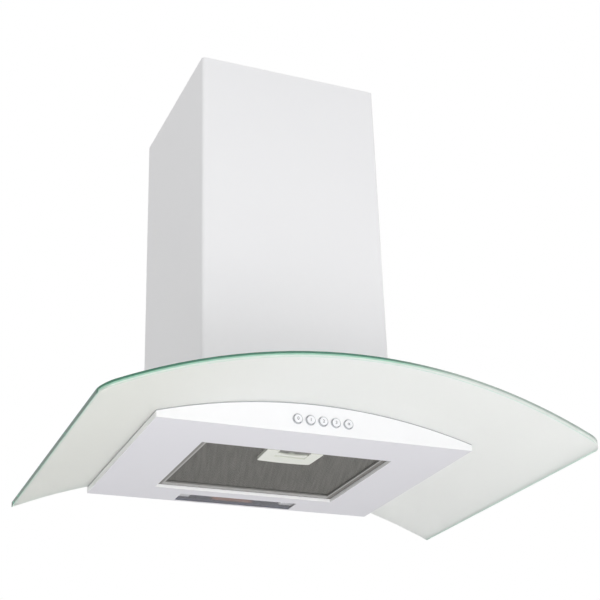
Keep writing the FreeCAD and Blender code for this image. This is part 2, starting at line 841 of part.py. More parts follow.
# --------------------------------------------------------------------- fan
def scroll_outline(x, inset, top):
    """volute from three arcs whose radius grows by one step each, rolled in narrow flats, and a neck"""
    r1 = scroll_radius - inset
    r2, r3 = r1 + scroll_step, r1 + 2 * scroll_step
    neck_back = neck_rear - inset
    start = math.acos((neck_back - fan_y) / r1)
    tongue = V(x, neck_back, fan_z + r1 * math.sin(start))

    def on_arc(cy, cz, radius, degrees):
        a = math.radians(degrees)
        return V(x, cy + radius * math.cos(a), cz + radius * math.sin(a))

    shifted_y, lifted_z = fan_y - scroll_step, fan_z + scroll_step
    right = on_arc(fan_y, fan_z, r1, 0)
    bottom = on_arc(shifted_y, fan_z, r2, -90)
    left = on_arc(shifted_y, lifted_z, r3, 180)
    arcs = [
        Part.Arc(tongue, on_arc(fan_y, fan_z, r1, math.degrees(start) / 2), right),
        Part.Arc(right, on_arc(shifted_y, fan_z, r2, -45), bottom),
        Part.Arc(bottom, on_arc(shifted_y, lifted_z, r3, -135), left),
    ]
    rolled = [tongue]
    for arc in arcs:
        rolled += arc.toShape().discretize(scroll_flats + 1)[1:]
    return Part.Face(Part.makePolygon(rolled + [V(x, left.y, top), V(x, neck_back, top), tongue]))


inner_half = scroll_width / 2 - scroll_sheet


def scroll_wrap():
    """sheet that runs around the impeller and up into the outlet neck"""
    skin = scroll_outline(-inner_half, 0, carcass_top).extrude(V(2 * inner_half, 0, 0))
    air = scroll_outline(-inner_half - 1, scroll_sheet, carcass_top + 1).extrude(V(2 * inner_half + 2, 0, 0))
    return skin.cut(air)


def scroll_side(side):
    """side plate with a round inlet"""
    x0, x1 = sorted((side * inner_half, side * (inner_half + scroll_sheet)))
    plate = scroll_outline(x0, 0, carcass_top).extrude(V(x1 - x0, 0, 0))
    return plate.cut(prism_x(inlet_radius, x0 - 1, x1 + 1, fan_y, fan_z, inlet_sides))


def blade():
    """forward-swept strip of sheet that ends in the two rings"""
    x = -impeller_width / 2 + impeller_ring_width / 2
    inner_r = impeller_radius - impeller_ring_depth + blade_inset
    outer_r = impeller_radius - blade_inset
    turn = math.degrees(blade_thickness / impeller_radius)
    corners = []
    for radius, degrees in ((inner_r, 0), (outer_r, blade_sweep_deg), (outer_r, blade_sweep_deg + turn),
                            (inner_r, turn), (inner_r, 0)):
        a = math.radians(degrees)
        corners.append(V(x, fan_y + radius * math.cos(a), fan_z + radius * math.sin(a)))
    return Part.Face(Part.makePolygon(corners)).extrude(V(-2 * x, 0, 0))


def shaft_bore(radius, x0, x1):
    """hole on the fan's axis whose flat sides just clear a round shaft"""
    return prism_x(circumscribed(radius, shaft_bore_sides), x0, x1, fan_y, fan_z, shaft_bore_sides)


def wheel_disc(radius, x0, x1):
    """flat disc with one facet for each blade"""
    return prism_x(radius, x0, x1, fan_y, fan_z, blade_count)


def impeller():
    """double-inlet drum: middle disc and hub, two end rings and a cage of swept blades"""
    half = impeller_width / 2
    rings = []
    for x0 in (-half, half - impeller_ring_width):
        x1 = x0 + impeller_ring_width
        ring = wheel_disc(impeller_radius, x0, x1)
        rings.append(ring.cut(wheel_disc(impeller_radius - impeller_ring_depth, x0 - 1, x1 + 1)))
    disc = wheel_disc(impeller_radius - blade_inset, hub_x, hub_x + disc_thickness)
    hub = prism_x(hub_radius, hub_x - hub_half_length, hub_x + hub_half_length, fan_y, fan_z, hub_sides)
    blades = []
    for i in range(blade_count):
        turned = blade()
        turned.rotate(V(0, fan_y, fan_z), V(1, 0, 0), 360.0 * i / blade_count)
        blades.append(turned)
    drum = disc.multiFuse([hub] + rings + blades)
    return drum.cut(shaft_bore(shaft_radius, hub_x - hub_half_length - 1, hub_x + hub_half_length + 1))


motor_front = -motor_rear + motor_length
motor_boss = motor_front + motor_boss_length
shaft_rear = motor_front - shaft_depth


def motor():
    """closed fan motor with a ribbed case: end caps, a wider laminated waist and a shaft boss"""
    body = prism_x(motor_radius, -motor_rear, motor_front, fan_y, fan_z, motor_sides)
    waist_centre = -motor_rear + motor_length * 0.38
    waist = prism_x(motor_radius + motor_waist_step, waist_centre - motor_waist_length / 2,
                    waist_centre + motor_waist_length / 2, fan_y, fan_z, motor_sides)
    boss = prism_x(motor_boss_radius, motor_front, motor_boss, fan_y, fan_z, motor_sides)
    bore = shaft_bore(shaft_radius + running_gap, shaft_rear, motor_boss + 1)
    return fuse([body, waist, boss]).cut(bore)


def motor_shaft():
    shaft_end = hub_x + hub_half_length + impeller_nut_height + shaft_overhang
    return rod_x(shaft_radius, shaft_rear + slide_gap, shaft_end, fan_y, fan_z)


def impeller_nut():
    x0 = hub_x + hub_half_length
    x1 = x0 + impeller_nut_height
    bore = shaft_bore(shaft_radius, x0 - 1, x1 + 1)
    return prism_x(impeller_nut_radius, x0, x1, fan_y, fan_z).cut(bore)


arm_x0 = -scroll_width / 2 - motor_arm_sheet
arm_x1 = -scroll_width / 2
arm_reach = inlet_radius + motor_arm_seat


def arm_places():
    return [90 + 120 * i for i in range(3)]


def motor_bracket():
    """six-sided plate around the motor with three arms to the scroll's side plate"""
    bore_radius = motor_radius + motor_waist_step + fit_gap
    plate_radius = bore_radius + motor_collar_width
    plate = prism_x(plate_radius / math.cos(math.radians(30)), arm_x0, arm_x1, fan_y, fan_z)
    half = motor_arm_width / 2
    arms = []
    for degrees in arm_places():
        arm = box(arm_x0, arm_x1, fan_y - half, fan_y + half,
                  fan_z + plate_radius - 1, fan_z + arm_reach + half)
        arm.rotate(V(0, fan_y, fan_z), V(1, 0, 0), degrees - 90)
        arms.append(arm)
    return fuse([plate] + arms).cut(prism_x(bore_radius, arm_x0 - 1, arm_x1 + 1, fan_y, fan_z, motor_sides))


def arm_point(degrees):
    a = math.radians(degrees)
    return fan_y + arm_reach * math.cos(a), fan_z + arm_reach * math.sin(a)


def motor_screws():
    """hexagon heads on the bracket's arms"""
    screws = []
    for degrees in arm_places():
        y, z = arm_point(degrees)
        screws.append(prism_x(screw_head_radius, arm_x0 - screw_head_height, arm_x0, y, z))
    return Part.makeCompound(screws)


# ------------------------------------------------------- collar and flaps
hinge_offsets = (-flap_pin_offset, flap_pin_offset)
pin_z = flap_z + flap_pin_radius
pivot_reach = collar_bore + pivot_depth
pivot_inner = math.sqrt(collar_bore ** 2 - (flap_pin_offset + flap_pin_radius) ** 2) - 1


def outlet_collar():
    """round duct collar with four flap stops, a centre bar and pivot sockets for the flaps"""
    top = lid_top + collar_height
    tube = rod_z(collar_radius, plate_top, top, 0, collar_y)
    tube = tube.cut(prism_z(collar_bore, plate_top - 1, top + 1, 0, collar_y, bore_sides))
    stop_top = flap_z - seat_gap
    stop_low = stop_top - stop_thickness
    root = collar_bore + collar_root
    bar = box(-root, root, collar_y - collar_bar_width / 2, collar_y + collar_bar_width / 2, stop_low, stop_top)
    stops = []
    for side in (-1, 1):
        for turn in (-stop_angle_deg, stop_angle_deg):
            x0, x1 = sorted((side * root, side * (collar_bore - stop_length)))
            stop = box(x0, x1, collar_y - stop_width / 2, collar_y + stop_width / 2, stop_low, stop_top)
            stop.rotate(V(0, collar_y, 0), V(0, 0, 1), turn)
            stops.append(stop)
    collar = fuse([tube, bar] + stops)
    socket_end = pivot_reach + seat_gap
    socket_radius = circumscribed(flap_pin_radius + running_gap, socket_sides)
    sockets = []
    for offset in hinge_offsets:
        for x0, x1 in ((-socket_end, -pivot_inner), (pivot_inner, socket_end)):
            sockets.append(prism_x(socket_radius, x0, x1, collar_y + offset, pin_z, socket_sides))
    return collar.cut(sockets)


def collar_plate():
    """square steel plate on the lid, under the collar's foot"""
    reach = collar_radius + collar_plate_margin
    plate = box(-reach, reach, collar_y - reach, collar_y + reach, lid_top, plate_top)
    return plate.cut(prism_z(collar_bore, lid_top - 1, plate_top + 1, 0, collar_y, bore_sides))


def collar_screws():
    """hexagon heads in the plate's corners"""
    reach = collar_radius + collar_plate_margin - collar_screw_inset
    return Part.makeCompound([
        prism_z(screw_head_radius, plate_top, plate_top + screw_head_height, sx * reach, collar_y + sy * reach)
        for sx in (-1, 1) for sy in (-1, 1)
    ])


def damper_flap(side):
    """half-round flap with a pivot rod along its straight edge"""
    pivot_y = collar_y + side * flap_pin_offset
    disc = prism_z(collar_bore - flap_edge_gap, flap_z, flap_z + flap_thickness, 0, collar_y, bore_sides)
    keep_y0, keep_y1 = sorted((pivot_y, pivot_y + side * collar_bore))
    half_disc = disc.common(box(-collar_radius, collar_radius, keep_y0, keep_y1, flap_z - 1, flap_z + 2))
    rod = rod_x(flap_pin_radius, -pivot_reach, pivot_reach, pivot_y, pin_z)
    return half_disc.fuse(rod)


# ------------------------------------------------------------ chimney covers
def channel(half_width, depth_front, depth_rear, sheet, bend, fold, z0, z1):
    """cover folded from sheet: front, two sides and two short returns along the wall"""
    outer = box(-half_width, half_width, depth_front, depth_rear, z0, z1)
    front_edges = [
        e for e in outer.Edges
        if abs(e.Vertexes[0].Z - e.Vertexes[1].Z) > 1 and e.Vertexes[0].Y < depth_front + 1
    ]
    outer = outer.makeFillet(bend, front_edges)
    inner = box(-half_width + sheet, half_width - sheet, depth_front + sheet, depth_rear - sheet,
                z0 - 1, z1 + 1)
    inner_edges = [
        e for e in inner.Edges
        if abs(e.Vertexes[0].Z - e.Vertexes[1].Z) > 1 and e.Vertexes[0].Y < depth_front + sheet + 1
    ]
    inner = inner.makeFillet(bend - sheet, inner_edges)
    gap = box(-half_width + fold, half_width - fold, depth_rear - sheet - 1, depth_rear + 1, z0 - 1, z1 + 1)
    return outer.cut([inner, gap])


def lower_chimney():
    """visible cover; its bottom edge is cut to the curve of the glass"""
    lowest = arch_z(half_chimney, glass_thickness) - 1
    cover = channel(half_chimney, -chimney_depth, 0, chimney_sheet, chimney_bend, chimney_return,
                    lowest, chimney_top)
    return cover.cut(under_arch(glass_thickness + seat_gap, -chimney_depth - 1, 1))


upper_half = half_chimney - chimney_sheet - cover_gap
upper_front = -chimney_depth + chimney_sheet + cover_gap
upper_rear = -chimney_sheet - cover_gap
upper_top = chimney_top - upper_cover_sink
upper_bottom = foot_low + foot_height + seat_gap


def upper_chimney():
    """inner cover, pushed right down into the visible one"""
    return channel(upper_half, upper_front, upper_rear, chimney_sheet, chimney_bend - chimney_sheet,
                   chimney_return, upper_bottom, upper_top)


def upper_bracket():
    """joggled wall bracket inside the top of the upper cover"""
    z1 = upper_top - bracket_drop
    z0 = z1 - bracket_height
    inner_half_width = upper_half - chimney_sheet
    joggle_x = upper_half - chimney_return - 2
    joggle_y = upper_rear - chimney_sheet - slide_gap - bracket_sheet
    t = bracket_sheet
    strips = [box(-joggle_x, joggle_x, -t, 0, z0, z1)]
    for side in (-1, 1):
        a0, a1 = sorted((side * joggle_x, side * (joggle_x - t)))
        strips.append(box(a0, a1, joggle_y, 0, z0, z1))
        b0, b1 = sorted((side * (joggle_x - t), side * inner_half_width))
        strips.append(box(b0, b1, joggle_y, joggle_y + t, z0, z1))
        c0, c1 = sorted((side * (inner_half_width - t), side * inner_half_width))
        strips.append(box(c0, c1, joggle_y - bracket_side_leg, joggle_y + t, z0, z1))
    holes = [
        rod_y(bracket_hole_radius, -t - 1, 1, side * bracket_hole_spread / 2, (z0 + z1) / 2)
        for side in (-1, 1)
    ]
    return fuse(strips).cut(holes)


def chimney_foot(side):
    """Z-shaped foot that ties the visible cover to the carcass below the inner cover"""
    y0, y1 = -carcass_depth / 2 - foot_depth / 2, -carcass_depth / 2 + foot_depth / 2
    inside, outside = half_carcass, half_chimney - chimney_sheet
    a0, a1 = sorted((side * inside, side * (inside + foot_sheet)))
    b0, b1 = sorted((side * inside, side * outside))
    c0, c1 = sorted((side * (outside - foot_sheet), side * outside))
    return fuse([
        box(a0, a1, y0, y1, foot_low, foot_low + foot_height),
        box(b0, b1, y0, y1, foot_low, foot_low + foot_sheet),
        box(c0, c1, y0, y1, foot_low, foot_low + foot_height),
    ])


# ---------------------------------------------------------------- electrics
box_x1 = half_carcass - carcass_sheet
box_x0 = box_x1 - box_width
box_y0 = -carcass_depth + box_front_inset
box_z0 = fan_z


def control_box():
    """plastic box on the carcass side wall, open towards its lid"""
    outer = box(box_x0, box_x1, box_y0, box_y0 + box_depth, box_z0, box_z0 + box_height)
    inner = box(box_x0 - 1, box_x1 - box_wall, box_y0 + box_wall, box_y0 + box_depth - box_wall,
                box_z0 + box_wall, box_z0 + box_height - box_wall)
    return outer.cut(inner)


def control_box_lid():
    return box(box_x0 - box_lid_sheet, box_x0, box_y0, box_y0 + box_depth, box_z0, box_z0 + box_height)


def capacitor():
    """motor capacitor: a can standing on the box floor, against its front wall"""
    floor = box_z0 + box_wall
    x = (box_x0 + box_x1 - box_wall) / 2
    y = box_y0 + box_wall + capacitor_radius + seat_gap
    return prism_z(capacitor_radius, floor, floor + capacitor_height, x, y, capacitor_sides)


def terminal_block():
    """row of screw terminals on the box's side wall"""
    x1 = box_x1 - box_wall
    x0 = x1 - terminal_depth
    y1 = box_y0 + box_depth - box_wall - terminal_side_gap
    y0 = y1 - terminal_width
    z0 = box_z0 + (box_height - terminal_pitch * (terminal_count + 0.5)) / 2
    body = box(x0, x1, y0, y1, z0, z0 + terminal_pitch * (terminal_count + 0.5))
    wells = []
    for i in range(terminal_count):
        low = z0 + terminal_pitch * (i + 0.5)
        wells.append(box(x0 - 1, x0 + terminal_depth / 2, y0 + terminal_width / 4, y1 - terminal_width / 4,
                         low, low + terminal_pitch / 2))
    return body.cut(wells)


# -------------------------------------------------------------------- write
def build():
    os.makedirs("parts", exist_ok=True)
    save("glass_canopy", glass_canopy())
    save("gasket_below_glass", cutout_gasket(lower_gasket_bottom, lower_gasket_top))
    save("gasket_above_glass", cutout_gasket(upper_gasket_bottom, upper_gasket_top))
    save("glass_bolts", glass_bolts())
    save("glass_nuts", glass_nuts())
    save("glass_bushes", glass_bushes())
    save("underside_panel", underside_panel())
    save("front_panel", front_panel())
    save("perimeter_seal", perimeter_seal())
    save("air_chamber", air_chamber())
    for index, x in enumerate(button_places()):
        save("button_%d" % (index + 1), push_button(x))
    save("button_bezels", button_bezels())
    save("switch_block", switch_block())
    save("filter_frame", filter_frame())
    layer = filter_mesh_thickness / 3
    save("filter_mesh_outer", filter_mesh(mesh_low, mesh_low + layer))
    save("filter_mesh_core", filter_mesh(mesh_low + layer, mesh_low + 2 * layer))
    save("filter_mesh_inner", filter_mesh(mesh_low + 2 * layer, mesh_low + 3 * layer))
    save("catch_housing", catch_housing())
    save("catch_slider", catch_slider())
    save("lamp_lens", lamp_lens())
    save("lamp_housing", lamp_housing())
    save("lamp_holders", lamp_holders())
    save("lamp_bulbs", lamp_bulbs())
    save("carcass_shell", carcass_shell())
    save("carcass_lid", carcass_lid())
    save("cable_gland", cable_gland())
    save("scroll_wrap", scroll_wrap())
    save("scroll_side_left", scroll_side(-1))
    save("scroll_side_right", scroll_side(1))
    save("impeller", impeller())
    save("motor_shaft", motor_shaft())
    save("impeller_nut", impeller_nut())
    save("motor", motor())
    save("motor_bracket", motor_bracket())
    save("motor_screws", motor_screws())
    save("outlet_collar", outlet_collar())
    save("collar_plate", collar_plate())
    save("collar_screws", collar_screws())
    save("damper_flap_front", damper_flap(-1))
    save("damper_flap_rear", damper_flap(1))
    save("lower_chimney", lower_chimney())
    save("upper_chimney", upper_chimney())
    save("upper_bracket", upper_bracket())
    save("chimney_foot_left", chimney_foot(-1))
    save("chimney_foot_right", chimney_foot(1))
    save("control_box", control_box())
    save("control_box_lid", control_box_lid())
    save("capacitor", capacitor())
    save("terminal_block", terminal_block())


build()
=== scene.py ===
"""Looks of the curved glass range hood: white powder coat, frosted green-edged
glass, expanded-metal grease filter, push buttons and the fan unit behind."""
import bmesh
import bpy
import math
from mathutils import Matrix, Vector


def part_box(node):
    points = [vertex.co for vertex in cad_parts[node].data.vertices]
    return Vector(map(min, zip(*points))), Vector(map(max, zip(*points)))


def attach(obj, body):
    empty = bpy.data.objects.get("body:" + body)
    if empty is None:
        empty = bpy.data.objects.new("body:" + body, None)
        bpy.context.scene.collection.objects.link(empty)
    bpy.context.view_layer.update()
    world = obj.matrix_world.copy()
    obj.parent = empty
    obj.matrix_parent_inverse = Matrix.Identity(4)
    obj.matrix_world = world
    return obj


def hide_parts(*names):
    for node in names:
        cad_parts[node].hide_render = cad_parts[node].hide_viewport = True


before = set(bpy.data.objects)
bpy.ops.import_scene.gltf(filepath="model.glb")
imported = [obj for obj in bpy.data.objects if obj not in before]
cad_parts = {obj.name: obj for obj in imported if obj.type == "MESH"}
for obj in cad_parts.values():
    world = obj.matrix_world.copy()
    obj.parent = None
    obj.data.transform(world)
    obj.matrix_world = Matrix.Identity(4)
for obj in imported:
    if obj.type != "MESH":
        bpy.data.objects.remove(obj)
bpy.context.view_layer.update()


# ---------------------------------------------------------------- viewpoint
# The hood is seen from below and from the left, by somebody about 1.5 m away
# from its control panel. Angles are those of a level tripod head.
eye = Vector((-0.59752, -1.64073, -0.64432))
yaw = math.radians(23.4123)
pitch = math.radians(24.8404)
roll = math.radians(-1.8636)
sensor_mm = 36.0
focal_px = 1303.585
picture_px = 600

forward = Vector((
    math.sin(yaw) * math.cos(pitch),
    math.cos(yaw) * math.cos(pitch),
    math.sin(pitch),
))
sideways = Vector((math.cos(yaw), -math.sin(yaw), 0.0))
upright = sideways.cross(forward)
right = math.cos(roll) * sideways + math.sin(roll) * upright
up = math.cos(roll) * upright - math.sin(roll) * sideways

lens = bpy.data.cameras.new("viewpoint")
lens.sensor_width = sensor_mm
lens.lens = focal_px / picture_px * sensor_mm
camera = bpy.data.objects.new("viewpoint", lens)
camera.matrix_world = Matrix((
    (right.x, up.x, -forward.x, eye.x),
    (right.y, up.y, -forward.y, eye.y),
    (right.z, up.z, -forward.z, eye.z),
    (0.0, 0.0, 0.0, 1.0),
))
bpy.context.scene.collection.objects.link(camera)
bpy.context.scene.camera = camera
bpy.context.scene.view_settings.view_transform = "Standard"


# ------------------------------------------------------------------- studio
# A pale floor well below the hood, a plain bright surround and eight soft
# panels of light: one large in front, three low ones under the hood's front,
# one above and three at the sides.
floor_drop = 1.30
floor_reach = 9.0
floor_lift = 0.44
surround_light = 0.43
panel_aim = Vector((0.0, -0.2, 0.0))
panels = (
    # name, place, size, power
    ("front_panel_light", (0.9, -3.2, 0.2), 2.4, 13.6),
    ("top_panel_light", (0.3, -0.6, 3.0), 2.0, 5.0),
    ("low_panel_light", (0.1, -1.7, -1.1), 1.4, 7.8),
    ("far_low_panel_light", (0.1, -2.6, -1.1), 1.2, 3.4),
    ("under_panel_light", (-0.2, -1.1, -1.0), 1.0, 7.3),
    ("left_panel_light", (-2.4, -1.2, 0.6), 1.6, 5.0),
    ("upper_left_panel_light", (-1.3, -0.7, 1.1), 0.7, 1.4),
    ("right_panel_light", (2.4, -0.5, 0.6), 1.6, 4.0),
)


def grey(level):
    """neutral linear colour of one level"""
    return (level, level, level, 1.0)


def srgb(red, green, blue):
    """display colour from 0 to 255 as the linear colour that a socket takes"""
    steps = [c / 255 for c in (red, green, blue)]
    linear = [((c + 0.055) / 1.055) ** 2.4 if c > 0.04045 else c / 12.92 for c in steps]
    return tuple(linear) + (1.0,)


class Value:
    """one number in a node tree; arithmetic on it adds the Math nodes"""

    def __init__(self, nodes, link):
        self.nodes = nodes
        self.link = link

    def math(self, operation, *others, clamp=False):
        settings = {"operation": operation, "use_clamp": clamp}
        inputs = dict(enumerate((self,) + others))
        return Value(self.nodes, self.nodes.add("ShaderNodeMath", settings, inputs).outputs[0])

    def __add__(self, other):
        return self.math("ADD", other)

    __radd__ = __add__

    def __mul__(self, other):
        return self.math("MULTIPLY", other)

    __rmul__ = __mul__

    def __sub__(self, other):
        return self.math("SUBTRACT", other)

    def __rsub__(self, other):
        return (self * -1.0) + other

    def __truediv__(self, other):
        return self.math("DIVIDE", other)

    def smaller(self, other):
        return self.math("MINIMUM", other)

    def larger(self, other):
        return self.math("MAXIMUM", other)

    def size(self):
        return self.math("ABSOLUTE")

    def sine(self):
        return self.math("SINE")

    def root(self):
        return self.math("SQRT")

    def ramp(self, low, high):
        """0 below low, 1 above high and a smooth rise between them"""
        settings = {"interpolation_type": "SMOOTHSTEP"}
        node = self.nodes.add("ShaderNodeMapRange", settings, {0: self, 1: low, 2: high})
        return Value(self.nodes, node.outputs[0])


class Nodes:
    """node tree of a finish or of the surround; each node comes from add"""

    def __init__(self, tree):
        self.tree = tree

    def add(self, kind, settings=None, inputs=None):
        """one node: its settings first, then the values or links of its sockets"""
        node = self.tree.nodes.new(kind)
        for key, value in (settings or {}).items():
            setattr(node, key, value)
        for key, value in (inputs or {}).items():
            self.feed(node.inputs[key], value)
        return node

    def feed(self, socket, value):
        """a Value or another socket is linked, and a plain number or colour is set"""
        link = getattr(value, "link", value)
        if isinstance(link, bpy.types.NodeSocket):
            self.tree.links.new(link, socket)
        else:
            socket.default_value = link

    def looked_at(self):
        """1 where the surface is seen, mirrored or seen through glass, 0 where it lights others"""
        ray = self.add("ShaderNodeLightPath").outputs
        seen = Value(self, ray["Is Camera Ray"]) + ray["Is Glossy Ray"]
        return seen.math("ADD", ray["Is Transmission Ray"], clamp=True)


class Finish(Nodes):
    """a whole material; the keywords are constants of its shader"""

    def __init__(self, name, **constants):
        self.material = bpy.data.materials.new(name)
        self.material.use_nodes = True
        super().__init__(self.material.node_tree)
        self.shader = self.tree.nodes["Principled BSDF"]
        self.place = self.add("ShaderNodeTexCoord").outputs["Object"]
        for key, value in constants.items():
            self.shader.inputs[key.replace("_", " ")].default_value = value

    def axis(self, name, vector=None):
        """one coordinate of the place on the object, or of another vector"""
        split = self.add("ShaderNodeSeparateXYZ", None, {0: vector or self.place})
        return Value(self, split.outputs[name])

    def facing(self):
        """which way the surface faces"""
        return self.add("ShaderNodeNewGeometry").outputs["Normal"]

    def stretched(self, x, y, z, turn=0.0):
        """object coordinates, in metres, turned about Z and multiplied axis by axis"""
        about_z = {"rotation_type": "Z_AXIS"}
        turned = self.add("ShaderNodeVectorRotate", about_z, {0: self.place, "Angle": turn})
        scaled = {"Vector": turned.outputs[0], "Scale": (x, y, z)}
        return self.add("ShaderNodeMapping", None, scaled).outputs[0]

    def noise(self, scale, detail=2.0, vector=None, roughness=0.5):
        inputs = {"Vector": vector or self.place, "Scale": scale,
                  "Detail": detail, "Roughness": roughness}
        return Value(self, self.add("ShaderNodeTexNoise", None, inputs).outputs[0])

    def mix(self, amount, low, high):
        """colour between two colours"""
        inputs = {"Factor": amount, "A": low, "B": high}
        return self.add("ShaderNodeMix", {"data_type": "RGBA"}, inputs).outputs["Result"]

    def colour(self, link):
        self.feed(self.shader.inputs["Base Color"], link)

    def roughness(self, value):
        self.feed(self.shader.inputs["Roughness"], value)

    def tones(self, cloud, dark, light):
        """a colour that drifts between two tones in clouds of this scale"""
        self.colour(self.mix(self.noise(cloud), srgb(*dark), srgb(*light)))

    def gloss(self, base, spread, grain):
        """a roughness that varies from base by up to spread in a grain of this scale"""
        self.roughness(base + self.noise(grain) * spread)

    def bump(self, height, depth, strength=1.0):
        """bumps of this depth, in metres, where the height pattern goes from 0 to 1"""
        inputs = {"Height": height, "Distance": depth, "Strength": strength}
        self.feed(self.shader.inputs["Normal"], self.add("ShaderNodeBump", None, inputs).outputs[0])


floor_mesh = bmesh.new()
bmesh.ops.create_grid(floor_mesh, x_segments=1, y_segments=1, size=floor_reach)
bmesh.ops.translate(floor_mesh, verts=floor_mesh.verts, vec=(0, 0, -floor_drop))
floor_data = bpy.data.meshes.new("floor")
floor_mesh.to_mesh(floor_data)
floor_mesh.free()
floor = bpy.data.objects.new("floor", floor_data)
bpy.context.scene.collection.objects.link(floor)

pale = Finish("pale_floor", Roughness=0.9, Specular_IOR_Level=0.0, Emission_Strength=1.0)
pale.tones(cloud=3.0, dark=(240, 240, 241), light=(244, 244, 244))
pale.feed(pale.shader.inputs["Emission Color"],
          pale.mix(pale.looked_at(), grey(0.0), grey(floor_lift)))
pale.material.cycles.emission_sampling = "NONE"
floor_data.materials.append(pale.material)

for name, place, size, power in panels:
    lamp = bpy.data.lights.new(name, "AREA")
    lamp.shape = "SQUARE"
    lamp.size = size
    lamp.energy = power
    stand = bpy.data.objects.new(name, lamp)
    stand.location = place
    stand.rotation_mode = "QUATERNION"
    stand.rotation_quaternion = (panel_aim - Vector(place)).to_track_quat("-Z", "Y")
    stand.visible_camera = False
    bpy.context.scene.collection.objects.link(stand)

world = bpy.data.worlds.new("surround")
world.use_nodes = True
world.node_tree.nodes.clear()
bpy.context.scene.world = world
air = Nodes(world.node_tree)
dim, bright = (
    air.add("ShaderNodeBackground", None, {"Color": grey(1.0), "Strength": strength}).outputs[0]
    for strength in (surround_light, 1.0)
)
choice = air.add("ShaderNodeMixShader", None, {0: air.looked_at(), 1: dim, 2: bright})
air.add("ShaderNodeOutputWorld", None, {0: choice.outputs[0]})


# ------------------------------------------------- covers and pan, in white
# Both chimney covers, the pan and the control panel are folded from steel
# sheet and powder coated white, with the coat's faint orange peel. It is one
# white coat: the pan is painted a darker lilac grey and the panel a darker
# white than the covers, painted shade, and the pan's upright walls lighter
# than its floor, painted light.
coat_cloud = 7.0
coat_grain = 60.0
coat_spread = 0.08
peel_size = 950.0
peel_depth = 0.00012
peel_strength = 0.35
wall_slope, flat_slope = 0.3, 0.7


def dress(finish, *names):
    """put a finish on whole frame pieces"""
    for name in names:
        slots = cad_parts[name].data.materials
        slots.clear()
        slots.append(finish.material)


def powder_coat(name, light, dark, gloss, lit_wall_tone=None):
    """white coat with a faint cloud in it; upright walls may be painted a lighter tone, painted light
    """
    coat = Finish(name, Specular_IOR_Level=0.45, Coat_Roughness=0.08, Coat_Weight=0.25)
    tone = coat.mix(coat.noise(coat_cloud, detail=3.0), srgb(*dark), srgb(*light))
    if lit_wall_tone:
        flatness = coat.axis("Z", coat.facing()).size().ramp(wall_slope, flat_slope)
        tone = coat.mix(flatness, srgb(*lit_wall_tone), tone)
    coat.colour(tone)
    coat.gloss(base=gloss, spread=coat_spread, grain=coat_grain)
    coat.bump(coat.noise(peel_size, detail=1.0), peel_depth, peel_strength)
    return coat


cover_white = powder_coat("cover_white", light=(250, 250, 251), dark=(247, 247, 249), gloss=0.34)
# painted shade: the pan is a darker lilac grey copy of the white coat; painted light: its upright
# walls are lighter
pan_white = powder_coat("pan_white", light=(227, 226, 231), dark=(224, 223, 229), gloss=0.36,
                        lit_wall_tone=(252, 252, 253))
# painted shade: the panel is a darker copy of the white coat
panel_white = powder_coat("panel_white", light=(235, 235, 236), dark=(233, 233, 235), gloss=0.30)
dress(cover_white, "lower_chimney", "upper_chimney")
dress(pan_white, "underside_panel")
dress(panel_white, "front_panel")


# ------------------------------------------------------------- glass canopy
# One sheet of bent, toughened glass 6 mm thick, frosted on its faces; its edge
# is ground and polished and shows green. A grey seal beds it on the pan's rim,
# and black rubber where it is clamped.
arch_radius = 0.730
arch_axis_drop = 0.838
front_bulge = 0.013
canopy_low, canopy_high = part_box("glass_canopy")

# the faces are painted darker on the left half than on the right, painted shade, and a mint glow is
# painted near the edges, painted light
face_left_shaded, face_right_lit = srgb(240, 241, 236), srgb(249, 250, 248)
face_change_from, face_change_to = -0.30, -0.03
glow_green = srgb(196, 234, 216)
glow_reach = 0.004
glow_strength = 0.6
ground_facing, frosted_facing = 0.90, 0.97

# towards the right the edge is painted grey, a painted reflection; across its thickness it is painted
# pale below, then mint, then dark green above, painted light passing through the glass
edge_reflection_from, edge_reflection_to = 0.0, 0.14
pale_green, pale_grey = srgb(228, 240, 233), srgb(236, 240, 236)
mint_green, mint_grey = srgb(150, 208, 182), srgb(212, 222, 216)
dark_green, dark_grey = srgb(40, 104, 80), srgb(158, 172, 165)
side_green = srgb(0, 66, 42)
side_near, side_far = 0.0004, 0.0012
side_rise = 0.0026
mint_from, mint_to = 0.0010, 0.0026
dark_from, dark_to = 0.0030, 0.0040

frost_roughness = 0.60
frost_grain = 400.0
frost_spread = 0.05
polish_gain = 0.30
face_coat = 0.3

frosted = Finish("frosted_glass", Specular_IOR_Level=0.5, Transmission_Weight=0.4, IOR=1.45,
                 Coat_Roughness=0.3)
across = frosted.axis("X")
above_axis = frosted.axis("Z") + arch_axis_drop
from_axis = (across * across + above_axis * above_axis).root()
outward = frosted.add("ShaderNodeCombineXYZ", None,
                      {0: across / from_axis, 2: above_axis / from_axis})
outwardness = frosted.add("ShaderNodeVectorMath", {"operation": "DOT_PRODUCT"},
                          {0: frosted.facing(), 1: outward.outputs[0]})
on_face = Value(frosted, outwardness.outputs["Value"]).size().ramp(ground_facing, frosted_facing)
edge = 1.0 - on_face

to_side = canopy_high.x - across.size()
front_line = (across * across) * (front_bulge / canopy_high.x ** 2) + canopy_low.y
to_front = frosted.axis("Y") - front_line
glow = 1.0 - to_side.smaller(to_front).ramp(0.0, glow_reach)
# painted shade on the left half, and a painted glow near the edges
face = frosted.mix(across.ramp(face_change_from, face_change_to), face_left_shaded, face_right_lit)
glowing_face = frosted.mix(glow * glow_strength, face, glow_green)

at_side = 1.0 - to_side.ramp(side_near, side_far)
edge_height = from_axis - arch_radius + at_side * side_rise
